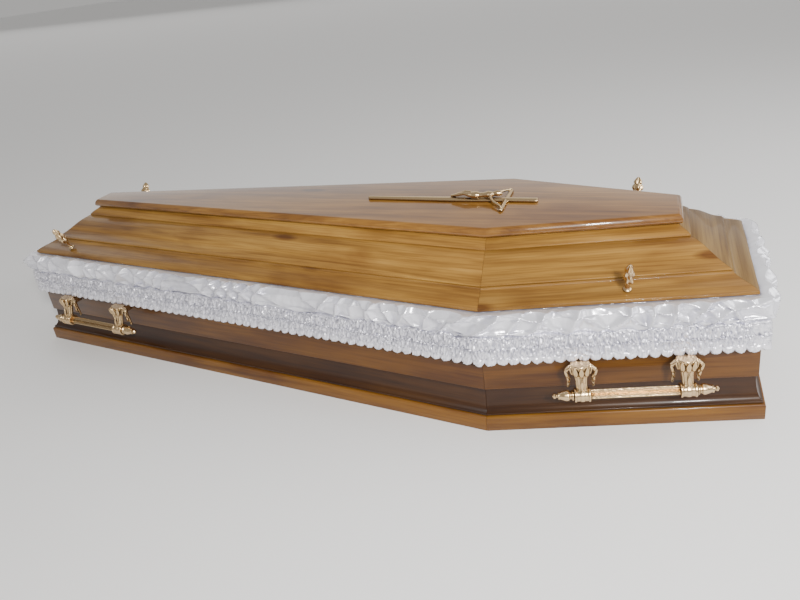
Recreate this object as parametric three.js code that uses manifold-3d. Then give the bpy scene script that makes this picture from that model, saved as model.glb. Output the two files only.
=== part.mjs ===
// A wooden coffin with its lid closed: a six-sided box of mitred boards and mouldings, a stepped lid
// under a flat top board, a satin frill over the rim, four handles, four lid screws and a crucifix.
// Millimetres, +Z up. The head is at +X, and the origin is under the middle of the plinth.

import * as THREE from "three";
import { mergeVertices } from "three/addons/utils/BufferGeometryUtils.js";
import Module from "manifold-3d";

const wasm = await Module();
wasm.setup();

// The plan at the plinth, from which every board and moulding is set back or out
const HALF_LENGTH = 1000;
const SHOULDER_X = 434;
const FOOT_HALF_WIDTH = 184;
const SHOULDER_HALF_WIDTH = 334;
const HEAD_HALF_WIDTH = 190;
const JOINT = 0.3;

// The box
const PLINTH_HEIGHT = 37;
const PLINTH_WIDTH = 24;
const PLINTH_EDGE_RADIUS = 5;
const COVE_HEIGHT = 60;
const COVE_FOOT_SETBACK = 5;
const COVE_TOP_SETBACK = 21;
const WALL_SETBACK = 16;
const WALL_THICKNESS = 21;
const WALL_TOP = 284;
const FLOOR_THICKNESS = 18;

// The lid, whose slopes leave a top board of this half width at the foot
const CLOTH_GAP = 4;
const LID_SETBACK = 25;
const LIP_HEIGHT = 7;
const LOWER_FRAME_HEIGHT = 31;
const MIDDLE_FRAME_HEIGHT = 46;
const UPPER_FRAME_HEIGHT = 23;
const TOP_BOARD_THICKNESS = 21;
const TOP_BOARD_FOOT_HALF_WIDTH = 24;
const TOP_BOARD_OVERHANG = 12;
const LOWER_FRAME_RUN_SHARE = 0.29;
const MIDDLE_FRAME_RUN_SHARE = 0.51;
const FRAME_STEP = 3.5;
const FRAME_WALL = 24;
const UPPER_FRAME_WALL = 19;

// The satin edging that hangs over the rim
const FRILL_BULGE = 30;
const FRILL_HEIGHT = 54;
const TRIM_THICKNESS = 17;
const TRIM_HEIGHT = 50;
const CLOTH_THICKNESS = 3;
const RIM_CLOTH_INSIDE = 30;

// The handles
const BAR_HEIGHT = 110;
const BAR_STANDOFF = 46;
const BAR_LENGTH = 334;
const BAR_RADIUS = 9.5;
const FLUTE_DEPTH = 1;
const BRACKET_SPACING = 211;
const SLEEVE_RADIUS = 14;
const SLEEVE_LENGTH = 32;
const BRACKET_WIDTH = 40;
const BRACKET_CLEARANCE = 3;
const FOOT_HANDLE_PLACE = 262;
const HEAD_HANDLE_PLACE = 310;

// The lid screws
const SCREW_HEAD_WIDTH = 30;
const SCREW_HEAD_HEIGHT = 58;
const SCREW_HEAD_THICKNESS = 6;
const SCREW_NECK = 25;
const FOOT_SCREW_PLACE = 158;
const HEAD_SCREW_PLACE = 312;

// The crucifix on the top board
const CROSS_LENGTH = 442;
const CROSS_FOOT_X = 70;
const CROSS_THICKNESS = 9;
const STAFF_WIDTH = 20;
const BEAM_LENGTH = 134;
const BEAM_WIDTH = 11;
const BEAM_FROM_TOP = 77;
const FIGURE_LENGTH = 128;

const FINISHES = {
  honey_wood: { color: 0x9a6a35, roughness: 0.3, metalness: 0 },
  white_satin: { color: 0xc9c8cf, roughness: 0.4, metalness: 0 },
  gilt: { color: 0xc6a878, roughness: 0.3, metalness: 1 },
};
const coffin = new THREE.Group();

// The six corners, anticlockwise from the near corner of the foot
const CORNERS = [
  [-HALF_LENGTH, -FOOT_HALF_WIDTH],
  [SHOULDER_X, -SHOULDER_HALF_WIDTH],
  [HALF_LENGTH, -HEAD_HALF_WIDTH],
  [HALF_LENGTH, HEAD_HALF_WIDTH],
  [SHOULDER_X, SHOULDER_HALF_WIDTH],
  [-HALF_LENGTH, FOOT_HALF_WIDTH],
].map(([x, y]) => new THREE.Vector2(x, y));
const EDGE_NAMES = ["near_side", "near_head_side", "head_end", "far_head_side", "far_side", "foot_end"];
const NEAR_SIDE = 0;
const NEAR_HEAD_SIDE = 1;
const FAR_HEAD_SIDE = 3;
const FAR_SIDE = 4;

function edgeDirection(i) {
  return CORNERS[(i + 1) % 6].clone().sub(CORNERS[i]).normalize();
}

function edgeNormal(i) {
  const along = edgeDirection(i);
  return new THREE.Vector2(along.y, -along.x);
}

// Corner i of the plan, with all six edges moved outwards by offset
function cornerAt(i, offset) {
  const a = edgeNormal((i + 5) % 6);
  const b = edgeNormal(i);
  const p = a.dot(CORNERS[i]) + offset;
  const q = b.dot(CORNERS[i]) + offset;
  const cross = a.x * b.y - a.y * b.x;
  return new THREE.Vector2((p * b.y - q * a.y) / cross, (q * a.x - p * b.x) / cross);
}

function add(name, geometry, finish, parent = coffin) {
  const mesh = new THREE.Mesh(geometry, new THREE.MeshStandardMaterial(FINISHES[finish]));
  mesh.name = name;
  parent.add(mesh);
  return mesh;
}

// A closed solid between rings of points, each ring with as many points as the next
function loft(rings) {
  const count = rings[0].length;
  const positions = rings.flat().flatMap((p) => [p.x, p.y, p.z]);
  const faces = [];
  for (let r = 0; r + 1 < rings.length; r++) {
    for (let k = 0; k < count; k++) {
      const a = r * count + k;
      const b = r * count + ((k + 1) % count);
      faces.push(a, b, b + count, a, b + count, a + count);
    }
  }
  const flat = flatten(rings[0]);
  const last = (rings.length - 1) * count;
  for (const [i, j, k] of THREE.ShapeUtils.triangulateShape(flat, [])) faces.push(k, j, i);
  const flatLast = flatten(rings[rings.length - 1]);
  for (const [i, j, k] of THREE.ShapeUtils.triangulateShape(flatLast, [])) {
    faces.push(last + i, last + j, last + k);
  }
  const geometry = new THREE.BufferGeometry();
  geometry.setAttribute("position", new THREE.Float32BufferAttribute(positions, 3));
  geometry.setIndex(faces);
  geometry.computeVertexNormals();
  return geometry;
}

// A ring's points in its own plane, turned so that they run anticlockwise
function flatten(ring) {
  const normal = new THREE.Vector3();
  ring.forEach((p, i) => normal.add(p.clone().cross(ring[(i + 1) % ring.length])));
  normal.normalize();
  const side = Math.abs(normal.z) < 0.9 ? new THREE.Vector3(0, 0, 1) : new THREE.Vector3(1, 0, 0);
  const u = side.cross(normal).normalize();
  const v = normal.clone().cross(u);
  return ring.map((p) => new THREE.Vector2(p.dot(u), p.dot(v)));
}

// A board or moulding along edge i, mitred at both ends; its profile is [offset, height] points
function mitredBoard(i, profile) {
  const along = edgeDirection(i).multiplyScalar(JOINT / 2);
  const start = profile.map(([offset, z]) => {
    const p = cornerAt(i, offset).add(along);
    return new THREE.Vector3(p.x, p.y, z);
  });
  const end = profile.map(([offset, z]) => {
    const p = cornerAt((i + 1) % 6, offset).sub(along);
    return new THREE.Vector3(p.x, p.y, z);
  });
  return loft([end, start]);
}

function boardsAround(name, profile, finish) {
  EDGE_NAMES.forEach((edge, i) => add(`${name}_${edge}`, mitredBoard(i, profile), finish));
}

// A closed ring of cloth all the way round
function mitredRing(profile) {
  const count = profile.length;
  const positions = [];
  const faces = [];
  for (let i = 0; i < 6; i++) {
    for (const [offset, z] of profile) {
      const p = cornerAt(i, offset);
      positions.push(p.x, p.y, z);
    }
    for (let k = 0; k < count; k++) {
      const a = i * count + k;
      const b = i * count + ((k + 1) % count);
      const next = ((i + 1) % 6) * count - i * count;
      faces.push(a, b, b + next, a, b + next, a + next);
    }
  }
  const geometry = new THREE.BufferGeometry();
  geometry.setAttribute("position", new THREE.Float32BufferAttribute(positions, 3));
  geometry.setIndex(faces);
  geometry.computeVertexNormals();
  return geometry;
}

// A six-sided board with the same edge profile all round, from its underside up
function mitredSlab(profile) {
  return loft(
    profile.map(([offset, z]) =>
      CORNERS.map((_, i) => {
        const p = cornerAt(i, offset);
        return new THREE.Vector3(p.x, p.y, z);
      }),
    ),
  );
}

// Points on a quarter ellipse or other arc, from angle a to angle b in degrees
function arc(cx, cz, rx, rz, a, b, steps) {
  return Array.from({ length: steps + 1 }, (_, k) => {
    const t = THREE.MathUtils.degToRad(a + ((b - a) * k) / steps);
    return [cx + rx * Math.cos(t), cz + rz * Math.sin(t)];
  });
}

// Points on an S from (x0, z0) to (x1, z1), flat at its foot and steep in its middle
function sCurve(x0, z0, x1, z1, swell, steps) {
  return Array.from({ length: steps + 1 }, (_, k) => {
    const t = k / steps;
    return [x0 + (x1 - x0) * t, z0 + (z1 - z0) * (t - swell * Math.sin(2 * Math.PI * t))];
  });
}

function makeBox() {
  const backOfMouldings = -PLINTH_WIDTH;
  const round = PLINTH_EDGE_RADIUS;
  const coveTop = PLINTH_HEIGHT + COVE_HEIGHT;
  const wallInside = -WALL_SETBACK - WALL_THICKNESS;
  boardsAround(
    "plinth",
    [
      [backOfMouldings, 0],
      [0, 0],
      ...arc(-round, PLINTH_HEIGHT - round, round, round, 0, 90, 4),
      [backOfMouldings, PLINTH_HEIGHT],
    ],
    "honey_wood",
  );
  const coveRun = COVE_TOP_SETBACK - COVE_FOOT_SETBACK;
  boardsAround(
    "cove",
    [
      [backOfMouldings, PLINTH_HEIGHT + JOINT],
      [-COVE_FOOT_SETBACK, PLINTH_HEIGHT + JOINT],
      ...arc(-COVE_FOOT_SETBACK, coveTop - JOINT, coveRun, COVE_HEIGHT - 2 * JOINT - 4, -90, -180, 6),
      [backOfMouldings, coveTop - JOINT],
    ],
    "honey_wood",
  );
  const rebate = backOfMouldings - JOINT;
  boardsAround(
    "wall",
    [
      [wallInside, 0],
      [rebate, 0],
      [rebate, coveTop],
      [-WALL_SETBACK - 1.5, coveTop],
      [-WALL_SETBACK, coveTop + 1.5],
      [-WALL_SETBACK, WALL_TOP - 1.5],
      [-WALL_SETBACK - 1.5, WALL_TOP],
      [wallInside, WALL_TOP],
    ],
    "honey_wood",
  );
  const floorEdge = wallInside - JOINT;
  add("floor_board", mitredSlab([[floorEdge, 0], [floorEdge, FLOOR_THICKNESS]]), "honey_wood");
}

// How far in the lid's slopes run, so that the top board keeps its width at the foot
const sideLean = edgeNormal(NEAR_SIDE);
const LID_RUN =
  (FOOT_HALF_WIDTH - TOP_BOARD_FOOT_HALF_WIDTH) / ((1 + sideLean.x) / -sideLean.y) - LID_SETBACK;
const LOWER_RUN = LID_RUN * LOWER_FRAME_RUN_SHARE;
const MIDDLE_RUN = LID_RUN * MIDDLE_FRAME_RUN_SHARE;
const LID_BOTTOM = WALL_TOP + CLOTH_GAP;
const LOWER_TOP = LID_BOTTOM + LOWER_FRAME_HEIGHT;
const MIDDLE_TOP = LOWER_TOP + MIDDLE_FRAME_HEIGHT;
const UPPER_TOP = MIDDLE_TOP + UPPER_FRAME_HEIGHT;
const LID_TOP = UPPER_TOP + TOP_BOARD_THICKNESS;

function makeLid() {
  const lowerEnd = -LID_SETBACK - LOWER_RUN;
  const middleStart = lowerEnd - FRAME_STEP;
  const middleEnd = lowerEnd - MIDDLE_RUN;
  const upperStart = middleEnd - FRAME_STEP;
  const upperEnd = -LID_SETBACK - LID_RUN;
  boardsAround(
    "lid_lower_frame",
    [
      [-LID_SETBACK - FRAME_WALL, LID_BOTTOM],
      [-LID_SETBACK, LID_BOTTOM],
      ...sCurve(-LID_SETBACK, LID_BOTTOM + LIP_HEIGHT, lowerEnd, LOWER_TOP - FRAME_STEP, -0.06, 8),
      [lowerEnd, LOWER_TOP],
      [lowerEnd - FRAME_WALL, LOWER_TOP],
    ],
    "honey_wood",
  );
  boardsAround(
    "lid_middle_frame",
    [
      [lowerEnd - FRAME_WALL, LOWER_TOP + JOINT],
      [middleStart, LOWER_TOP + JOINT],
      ...sCurve(middleStart, LOWER_TOP + FRAME_STEP, middleEnd, MIDDLE_TOP - JOINT, 0.05, 10),
      [middleEnd - FRAME_WALL, MIDDLE_TOP - JOINT],
    ],
    "honey_wood",
  );
  boardsAround(
    "lid_upper_frame",
    [
      [middleEnd - FRAME_WALL, MIDDLE_TOP],
      [upperStart, MIDDLE_TOP],
      ...sCurve(upperStart, MIDDLE_TOP + FRAME_STEP, upperEnd, UPPER_TOP - JOINT, -0.04, 6),
      [upperEnd - UPPER_FRAME_WALL, UPPER_TOP - JOINT],
    ],
    "honey_wood",
  );
  const widest = upperEnd + TOP_BOARD_OVERHANG;
  const edgeLow = UPPER_TOP + TOP_BOARD_THICKNESS / 5;
  add(
    "lid_top_board",
    mitredSlab([
      [widest - 3, UPPER_TOP],
      ...arc(widest - TOP_BOARD_OVERHANG, edgeLow, TOP_BOARD_OVERHANG, LID_TOP - edgeLow, 0, 90, 7),
    ]),
    "honey_wood",
  );
}

// The edging: a satin frill that lies across the rim and bulges outside it, and a ruched band below
const FRILL_BOTTOM = WALL_TOP - FRILL_HEIGHT;
const TRIM_BOTTOM = FRILL_BOTTOM - TRIM_HEIGHT;

function makeEdging() {
  const onWall = -WALL_SETBACK + JOINT;
  const inside = -WALL_SETBACK - WALL_THICKNESS - JOINT;
  const rimTop = WALL_TOP + JOINT;
  const clothTop = rimTop + CLOTH_THICKNESS;
  const out = onWall + FRILL_BULGE;
  const middle = (FRILL_BOTTOM + rimTop) / 2;
  add(
    "satin_frill",
    mitredRing([
      [onWall, rimTop],
      [onWall, FRILL_BOTTOM],
      [onWall + TRIM_THICKNESS, FRILL_BOTTOM],
      [out - 4, middle - 12],
      [out, middle + 6],
      [out - 4, rimTop - 4],
      [out - 12, clothTop],
      [inside - CLOTH_THICKNESS, clothTop],
      [inside - CLOTH_THICKNESS, rimTop - RIM_CLOTH_INSIDE],
      [inside, rimTop - RIM_CLOTH_INSIDE],
      [inside, rimTop],
    ].reverse()),
    "white_satin",
  );
  add(
    "ruched_band",
    mitredRing([
      [onWall, FRILL_BOTTOM - JOINT],
      [onWall, TRIM_BOTTOM],
      [onWall + TRIM_THICKNESS - 4, TRIM_BOTTOM],
      [onWall + TRIM_THICKNESS, TRIM_BOTTOM + TRIM_HEIGHT / 2],
      [onWall + TRIM_THICKNESS, FRILL_BOTTOM - JOINT],
    ].reverse()),
    "white_satin",
  );
}

// A closed mesh as a solid that can be joined and cut
function solid(geometry) {
  const bare = geometry.clone();
  bare.deleteAttribute("normal");
  bare.deleteAttribute("uv");
  const merged = mergeVertices(bare, 1e-4);
  return new wasm.Manifold(
    new wasm.Mesh({
      numProp: 3,
      vertProperties: new Float32Array(merged.attributes.position.array),
      triVerts: new Uint32Array(merged.index.array),
    }),
  );
}

function joined(geometries, cuts = []) {
  let whole = geometries.map(solid).reduce((a, b) => a.add(b));
  for (const cut of cuts) whole = whole.subtract(solid(cut));
  const { vertProperties, triVerts } = whole.getMesh();
  const geometry = new THREE.BufferGeometry();
  geometry.setAttribute("position", new THREE.BufferAttribute(new Float32Array(vertProperties), 3));
  geometry.setIndex(new THREE.BufferAttribute(new Uint32Array(triVerts), 1));
  geometry.computeVertexNormals();
  return geometry;
}

// An elliptic ring of points in the plane spanned by u and v
function ellipse(centre, u, v, count) {
  return Array.from({ length: count }, (_, k) => {
    const t = (2 * Math.PI * k) / count;
    return centre.clone().addScaledVector(u, Math.cos(t)).addScaledVector(v, Math.sin(t));
  });
}

// A limb, leaf or horn: a round body along a path, with a width and a thickness at each point
function limb(points, radii, count = 8, flatness = 1) {
  const up = new THREE.Vector3(0, 0, 1);
  return loft(
    points.map((p, i) => {
      const tangent = points[Math.min(i + 1, points.length - 1)].clone();
      tangent.sub(points[Math.max(i - 1, 0)]).normalize();
      const across = Math.abs(tangent.z) > 0.95 ? new THREE.Vector3(1, 0, 0) : up;
      const u = across.clone().cross(tangent).normalize();
      const v = tangent.clone().cross(u).normalize();
      return ellipse(p, u.multiplyScalar(radii[i]), v.multiplyScalar(radii[i] * flatness), count);
    }),
  );
}

const point = (x, y, z) => new THREE.Vector3(x, y, z);

// The grip bar along X, fluted between its sleeves, with turned and pointed ends
function gripBar() {
  const sides = 16;
  const half = BAR_LENGTH / 2;
  const sleeveEnd = (BRACKET_SPACING + SLEEVE_LENGTH) / 2;
  const tip = half - sleeveEnd;
  const end = [
    [sleeveEnd + tip * 0.08, 0.95],
    [sleeveEnd + tip * 0.14, 1.2],
    [sleeveEnd + tip * 0.22, 0.9],
    [sleeveEnd + tip * 0.34, 1.12],
    [sleeveEnd + tip * 0.72, 0.62],
    [sleeveEnd + tip * 0.76, 0.42],
    [sleeveEnd + tip * 0.88, 0.52],
    [half, 0.2],
  ];
  const middle = (BRACKET_SPACING - SLEEVE_LENGTH) / 2;
  const stations = [
    ...end.map(([x, r]) => [-x, r, 0]).reverse(),
    [-middle, 1, 0],
    [-middle + 4, 1, 1],
    [middle - 4, 1, 1],
    [middle, 1, 0],
    ...end.map(([x, r]) => [x, r, 0]),
  ];
  return loft(
    stations.map(([x, share, fluted]) =>
      Array.from({ length: sides }, (_, k) => {
        const t = (2 * Math.PI * k) / sides;
        const r = BAR_RADIUS * share - (k % 2 ? FLUTE_DEPTH * fluted : 0);
        return point(x, r * Math.cos(t), r * Math.sin(t));
      }),
    ),
  );
}

// A bracket, with the bar's axis at its origin and the wall at y = BAR_STANDOFF
function bracket() {
  const wall = BAR_STANDOFF - JOINT;
  const top = TRIM_BOTTOM - BRACKET_CLEARANCE - BAR_HEIGHT;
  const half = BRACKET_WIDTH / 2;
  const arm = loft(
    [
      [0, 0, half * 0.62, 9],
      [4, top * 0.35, half * 0.6, 8],
      [12, top * 0.66, half * 0.66, 9],
      [18, top * 0.86, half * 0.92, 11],
      [20, top, half, 11],
    ].map(([y, z, w, t]) => [point(-w, y - t, z), point(w, y - t, z), point(w, y + t, z), point(-w, y + t, z)]),
  );
  const plate = new THREE.BoxGeometry(BRACKET_WIDTH, wall - 18, top * 0.5);
  plate.translate(0, (wall + 18) / 2, top * 0.75);
  const sleeve = new THREE.CylinderGeometry(SLEEVE_RADIUS, SLEEVE_RADIUS, SLEEVE_LENGTH, 16);
  sleeve.rotateZ(Math.PI / 2);
  const bore = new THREE.CylinderGeometry(BAR_RADIUS + 2 * JOINT, BAR_RADIUS + 2 * JOINT, SLEEVE_LENGTH + 10, 16);
  bore.rotateZ(Math.PI / 2);
  const horns = [-1, 1].map((s) =>
    limb(
      [
        point(s * half * 0.5, 20, top - 6),
        point(s * half * 1.15, 19, top - 5),
        point(s * half * 1.62, 19, top - 14),
        point(s * half * 1.5, 21, top - 30),
        point(s * half * 1.28, 24, top - 45),
        point(s * half * 1.36, 24, top - 57),
      ],
      [6, 6, 5.4, 4.2, 3.4, 2.2],
    ),
  );
  return joined([arm, plate, sleeve, ...horns], [bore]);
}

// A turned group on edge i, at a distance along it from corner i, with local -Y pointing outwards
function placeOnEdge(i, along, offset, z) {
  const fromHere = i === FAR_HEAD_SIDE || i === FAR_SIDE;
  const direction = edgeDirection(i);
  const corner = fromHere ? CORNERS[(i + 1) % 6] : CORNERS[i];
  const place = corner.clone().addScaledVector(direction, fromHere ? -along : along);
  place.addScaledVector(edgeNormal(i), offset);
  const group = new THREE.Group();
  group.position.set(place.x, place.y, z);
  group.rotation.z = Math.atan2(direction.y, direction.x);
  coffin.add(group);
  return group;
}

const HANDLE_EDGES = [
  ["near_foot", NEAR_SIDE, FOOT_HANDLE_PLACE, FOOT_SCREW_PLACE],
  ["near_head", NEAR_HEAD_SIDE, HEAD_HANDLE_PLACE, HEAD_SCREW_PLACE],
  ["far_head", FAR_HEAD_SIDE, HEAD_HANDLE_PLACE, HEAD_SCREW_PLACE],
  ["far_foot", FAR_SIDE, FOOT_HANDLE_PLACE, FOOT_SCREW_PLACE],
];

function makeHandles() {
  for (const [name, edge, along] of HANDLE_EDGES) {
    const handle = placeOnEdge(edge, along, BAR_STANDOFF - WALL_SETBACK, BAR_HEIGHT);
    add(`handle_bar_${name}`, gripBar(), "gilt", handle);
    for (const [end, side] of [["a", -1], ["b", 1]]) {
      const mesh = add(`handle_bracket_${name}_${end}`, bracket(), "gilt", handle);
      mesh.position.x = (side * BRACKET_SPACING) / 2;
    }
  }
}

// A thumb screw that stands up along Z on its collar, with a flat leaf-shaped head in the XZ plane
function lidScrew() {
  const w = SCREW_HEAD_WIDTH / 2;
  const h = SCREW_HEAD_HEIGHT;
  const leaf = new THREE.Shape();
  leaf.moveTo(-w * 0.3, 0);
  leaf.lineTo(w * 0.3, 0);
  leaf.quadraticCurveTo(w * 1.1, h * 0.02, w, h * 0.3);
  leaf.lineTo(w * 0.72, h * 0.42);
  leaf.quadraticCurveTo(w * 0.95, h * 0.62, w * 0.62, h * 0.74);
  leaf.quadraticCurveTo(w * 0.6, h * 0.95, 0, h);
  leaf.quadraticCurveTo(-w * 0.6, h * 0.95, -w * 0.62, h * 0.74);
  leaf.quadraticCurveTo(-w * 0.95, h * 0.62, -w * 0.72, h * 0.42);
  leaf.lineTo(-w, h * 0.3);
  leaf.quadraticCurveTo(-w * 1.1, h * 0.02, -w * 0.3, 0);
  const head = new THREE.ExtrudeGeometry(leaf, {
    depth: SCREW_HEAD_THICKNESS,
    bevelEnabled: false,
    curveSegments: 4,
  });
  head.translate(0, 0, -SCREW_HEAD_THICKNESS / 2);
  head.rotateX(Math.PI / 2);
  head.translate(0, 0, SCREW_NECK);
  const neck = new THREE.LatheGeometry(
    [[0, 0], [9, 0], [9, 3], [4.5, 5], [3.5, SCREW_NECK - 3], [5, SCREW_NECK], [0, SCREW_NECK + 8]].map(
      ([x, y]) => new THREE.Vector2(x, y),
    ),
    12,
  );
  neck.rotateX(Math.PI / 2);
  return joined([head, neck]);
}

// Each screw stands square to the lower frame's slope; the head pair is turned edge on to the side
function makeScrews() {
  const rise = LOWER_FRAME_HEIGHT - LIP_HEIGHT - FRAME_STEP;
  const slope = Math.atan2(rise, LOWER_RUN);
  const middle = LID_BOTTOM + LIP_HEIGHT + rise / 2;
  for (const [name, edge, , along] of HANDLE_EDGES) {
    const seat = placeOnEdge(edge, along, -LID_SETBACK - LOWER_RUN / 2, middle);
    const tilt = new THREE.Group();
    tilt.rotation.x = slope;
    seat.add(tilt);
    const mesh = add(`lid_screw_${name}`, lidScrew(), "gilt", tilt);
    mesh.position.z = SCREW_SEAT_LIFT;
    mesh.rotation.z = name === "near_head" ? Math.PI / 2 : 0;
  }
}
const SCREW_SEAT_LIFT = 1.2;

// A cast crucifix along X, its foot at x = 0 and its back at z = 0
function crucifix() {
  const beamX = CROSS_LENGTH - BEAM_FROM_TOP;
  const half = STAFF_WIDTH / 2;
  const t = CROSS_THICKNESS;
  const staff = loft(
    [
      [0, 0.4],
      [4, 0.5],
      [CROSS_LENGTH * 0.5, 1],
      [CROSS_LENGTH * 0.62, 1],
      [beamX, 0.75],
      [CROSS_LENGTH - 4, 0.8],
      [CROSS_LENGTH, 0.7],
    ].map(([x, s]) => [
      point(x, -half * s, 0),
      point(x, half * s, 0),
      point(x, half * s, t * 0.55),
      point(x, half * s * 0.45, t),
      point(x, -half * s * 0.45, t),
      point(x, -half * s, t * 0.55),
    ]),
  );
  const b = BEAM_WIDTH / 2;
  const beam = loft(
    [1, 0.96, -0.96, -1].map((s) => {
      const y = (s * BEAM_LENGTH) / 2;
      const w = Math.abs(s) === 1 ? b * 0.7 : b;
      return [
        point(beamX + w, y, 0),
        point(beamX + w, y, t * 0.55),
        point(beamX, y, t * 0.9),
        point(beamX - w, y, t * 0.55),
        point(beamX - w, y, 0),
      ];
    }),
  );
  return joined([staff, beam, ...figure(beamX, t)]);
}

// The figure on the cross, its parts as shares of its length, with the hands on the beam
function figure(beamX, top) {
  const f = FIGURE_LENGTH;
  const feet = beamX - f * 1.06;
  const at = (share, y, z) => point(feet + f * share, f * y, top + f * z);
  const torso = limb(
    [at(0.46, 0, 0.05), at(0.54, 0, 0.055), at(0.62, 0, 0.06), at(0.72, 0, 0.075), at(0.79, 0, 0.065), at(0.83, 0, 0.05)],
    [0.07, 0.068, 0.062, 0.085, 0.08, 0.035].map((r) => r * f),
    10,
    0.7,
  );
  const cloth = limb(
    [at(0.38, 0, 0.05), at(0.42, 0, 0.055), at(0.5, 0, 0.06), at(0.54, 0, 0.055)],
    [0.075, 0.09, 0.088, 0.07].map((r) => r * f),
    10,
    0.72,
  );
  const head = limb(
    [at(0.8, 0.01, 0.06), at(0.84, 0.015, 0.075), at(0.9, 0.02, 0.085), at(0.96, 0.02, 0.075), at(0.99, 0.02, 0.06)],
    [0.03, 0.05, 0.06, 0.045, 0.02].map((r) => r * f),
  );
  const legs = [-1, 1].map((s) =>
    limb(
      [at(0.44, s * 0.04, 0.05), at(0.34, s * 0.045, 0.075), at(0.25, s * 0.035, 0.095), at(0.12, s * 0.02, 0.06),
        at(0.03, s * 0.014, 0.04), at(-0.03, s * 0.012, 0.035)],
      [0.045, 0.045, 0.036, 0.034, 0.022, 0.018].map((r) => r * f),
    ),
  );
  const reach = (BEAM_LENGTH * 0.42) / f;
  const beamShare = (beamX - feet) / f;
  const arms = [-1, 1].map((s) =>
    limb(
      [at(0.77, s * 0.05, 0.05), at(0.8, s * 0.13, 0.04), at(0.87, s * reach * 0.55, 0.02),
        at(beamShare - 0.04, s * reach * 0.9, 0.005), at(beamShare + 0.01, s * reach * 1.04, 0)],
      [0.036, 0.032, 0.028, 0.022, 0.02].map((r) => r * f),
    ),
  );
  return [torso, cloth, head, ...legs, ...arms];
}

function makeCrucifix() {
  const mesh = add("crucifix", crucifix(), "gilt");
  mesh.position.set(CROSS_FOOT_X, 0, LID_TOP + JOINT);
}

makeBox();
makeLid();
makeEdging();
makeHandles();
makeScrews();
makeCrucifix();

export default coffin;
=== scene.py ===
# %% [markdown]
# # A wooden coffin, dressed
# The boards, mouldings and fittings come from the CAD frame at their real size, in metres. This
# notebook gives them their finishes, and makes the satin that hangs over the rim out of folds.
# +X is the head end, -Y the near side, and the floor is at z = 0.

# %% Load the frame
import math

import bpy
from mathutils import Matrix, Vector, noise


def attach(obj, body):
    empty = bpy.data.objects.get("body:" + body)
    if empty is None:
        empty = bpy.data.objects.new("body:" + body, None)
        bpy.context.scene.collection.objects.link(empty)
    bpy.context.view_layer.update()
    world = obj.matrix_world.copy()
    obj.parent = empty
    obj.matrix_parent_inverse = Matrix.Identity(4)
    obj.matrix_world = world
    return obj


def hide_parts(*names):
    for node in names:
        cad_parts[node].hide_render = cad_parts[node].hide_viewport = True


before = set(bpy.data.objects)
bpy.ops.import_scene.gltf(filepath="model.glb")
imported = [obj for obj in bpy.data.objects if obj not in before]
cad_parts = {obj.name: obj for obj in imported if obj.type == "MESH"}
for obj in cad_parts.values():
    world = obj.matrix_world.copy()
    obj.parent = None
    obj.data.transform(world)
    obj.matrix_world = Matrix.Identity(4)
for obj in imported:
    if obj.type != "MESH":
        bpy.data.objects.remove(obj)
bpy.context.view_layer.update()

# %% [markdown]
# ## The plan
# A coffin of this shape is widest at the shoulders. Five sizes give the six corners of its
# plinth, in order round it from the near foot corner. The grain, the fittings and the cloth all
# take their directions and places from these corners, so nothing is placed twice.

# %% The plan of the plinth
HALF_LENGTH = 1.0
SHOULDER_PLACE = 0.434
FOOT_HALF_WIDTH = 0.184
SHOULDER_HALF_WIDTH = 0.334
HEAD_HALF_WIDTH = 0.190
PLAN = [
    (-HALF_LENGTH, -FOOT_HALF_WIDTH),
    (SHOULDER_PLACE, -SHOULDER_HALF_WIDTH),
    (HALF_LENGTH, -HEAD_HALF_WIDTH),
    (HALF_LENGTH, HEAD_HALF_WIDTH),
    (SHOULDER_PLACE, SHOULDER_HALF_WIDTH),
    (-HALF_LENGTH, FOOT_HALF_WIDTH),
]
SIDE_COUNT = len(PLAN)
LONG_SIDE_ANGLE = math.atan2(SHOULDER_HALF_WIDTH - FOOT_HALF_WIDTH, SHOULDER_PLACE + HALF_LENGTH)
HEAD_SIDE_ANGLE = math.atan2(SHOULDER_HALF_WIDTH - HEAD_HALF_WIDTH, HALF_LENGTH - SHOULDER_PLACE)
print("long sides lean", round(math.degrees(LONG_SIDE_ANGLE), 1), "degrees")
print("head sides lean", round(math.degrees(HEAD_SIDE_ANGLE), 1), "degrees")

# %% [markdown]
# ## Wood under lacquer
# The real boards are stained honey-brown and finished with a thick gloss lacquer. The grain runs
# along each board, so one material can't serve all: each direction gets its own, with a Mapping
# node that turns the pattern until its X lies along the board. Three noises are laid over each
# other, long blotches, streaks and fine pores, because stain takes unevenly in all three ways.

# %% Node helpers
def new_material(name):
    material = bpy.data.materials.new(name)
    material.use_nodes = True
    nodes = material.node_tree.nodes
    return material, nodes, material.node_tree.links, nodes["Principled BSDF"]


def ramp(nodes, stops):
    node = nodes.new("ShaderNodeValToRGB")
    elements = node.color_ramp.elements
    while len(elements) < len(stops):
        elements.new(0.5)
    for element, (place, colour) in zip(elements, stops):
        element.position = place
        element.color = (*colour, 1)
    return node


def noise_at(nodes, links, vector, stretch, scale, detail=4.0, distortion=0.0):
    mapping = nodes.new("ShaderNodeMapping")
    mapping.inputs["Scale"].default_value = stretch
    links.new(vector, mapping.inputs["Vector"])
    node = nodes.new("ShaderNodeTexNoise")
    node.inputs["Scale"].default_value = scale
    node.inputs["Detail"].default_value = detail
    node.inputs["Distortion"].default_value = distortion
    links.new(mapping.outputs["Vector"], node.inputs["Vector"])
    return node.outputs["Fac"]


def darkened(nodes, links, amount, colour, layer):
    node = nodes.new("ShaderNodeMix")
    node.data_type = "RGBA"
    node.blend_type = "MULTIPLY"
    node.inputs["Factor"].default_value = amount
    links.new(colour, node.inputs["A"])
    links.new(layer, node.inputs["B"])
    return node.outputs["Result"]


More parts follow.
